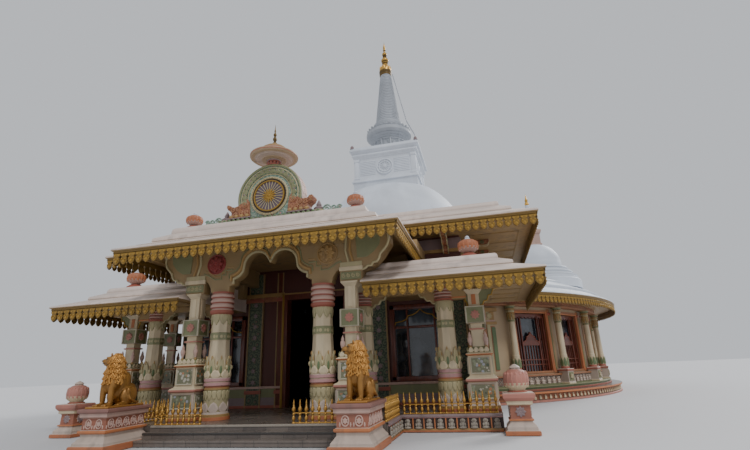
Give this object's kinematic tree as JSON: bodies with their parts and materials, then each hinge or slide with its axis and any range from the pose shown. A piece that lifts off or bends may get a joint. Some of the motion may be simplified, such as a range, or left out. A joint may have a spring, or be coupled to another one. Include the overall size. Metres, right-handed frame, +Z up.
{
  "type": "stupa with a round hall and a pillared entrance porch",
  "caption": "White dome stupa with a ringed spire over a round windowed hall, entered by a pillared porch with stepped roofs.",
  "frame": {"origin": "on the axis of the dome at ground level", "axes": "+Z up along the dome's axis, -Y out through the entrance porch, +X to the right seen from the front"},
  "size_m": [28, 36.78, 29.7],
  "materials": {
    "white": "limewashed plaster",
    "roof": "painted cement",
    "cream": "painted carved cement",
    "terracotta": "painted carved cement",
    "pink": "painted carved cement",
    "teal": "painted carved cement",
    "floor": "polished stone slabs",
    "gold": "gilded",
    "gold_trim": "gold paint",
    "glass": "dark glazing"
  },
  "bodies": {
    "root": {"round_plinth": "terracotta", "round_wall_right": "cream", "round_wall_back": "cream", "round_wall_left": "cream", "round_windows_right": "glass", "round_windows_back": "glass", "round_windows_left": "glass", "round_colonnade": "cream", "round_roof": "roof", "round_valance": "gold_trim", "small_stupa_1": "white", "small_stupa_2": "white", "small_stupa_3": "white", "small_stupa_4": "white", "stupa_core": "white", "stupa_terraces": "white", "stupa_dome": "white", "harmika": "white", "spire_drum": "white", "spire_cone": "white", "pinnacle": "gold", "porch_floor": "floor", "porch_steps": "floor", "lion_pedestal_left": "pink", "lion_pedestal_right": "pink", "lion_left": "gold", "lion_right": "gold", "corner_post_left": "pink", "corner_post_right": "pink", "step_railing_left": "gold_trim", "step_railing_right": "gold_trim", "wing_railing_left": "gold_trim", "wing_railing_right": "gold_trim", "front_column_left": "cream", "front_column_right": "cream", "wing_column_left": "cream", "wing_column_right": "cream", "front_pillar_left": "cream", "front_pillar_right": "cream", "front_arch": "teal", "wing_frame_left": "cream", "wing_frame_right": "cream", "hall_wall_left": "terracotta", "hall_wall_right": "terracotta", "hall_window_left": "glass", "hall_window_right": "glass", "hall_wall_over_door": "terracotta", "canopy_roof": "roof", "canopy_valance": "gold_trim", "wing_roof_left": "roof", "wing_roof_right": "roof", "wing_valance_left": "gold_trim", "wing_valance_right": "gold_trim", "main_roof": "roof", "main_valance": "gold_trim", "wing_pot_left": "terracotta", "wing_pot_right": "terracotta", "pediment": "teal", "wheel": "gold", "parasol": "pink"}
  },
  "joints": []
}
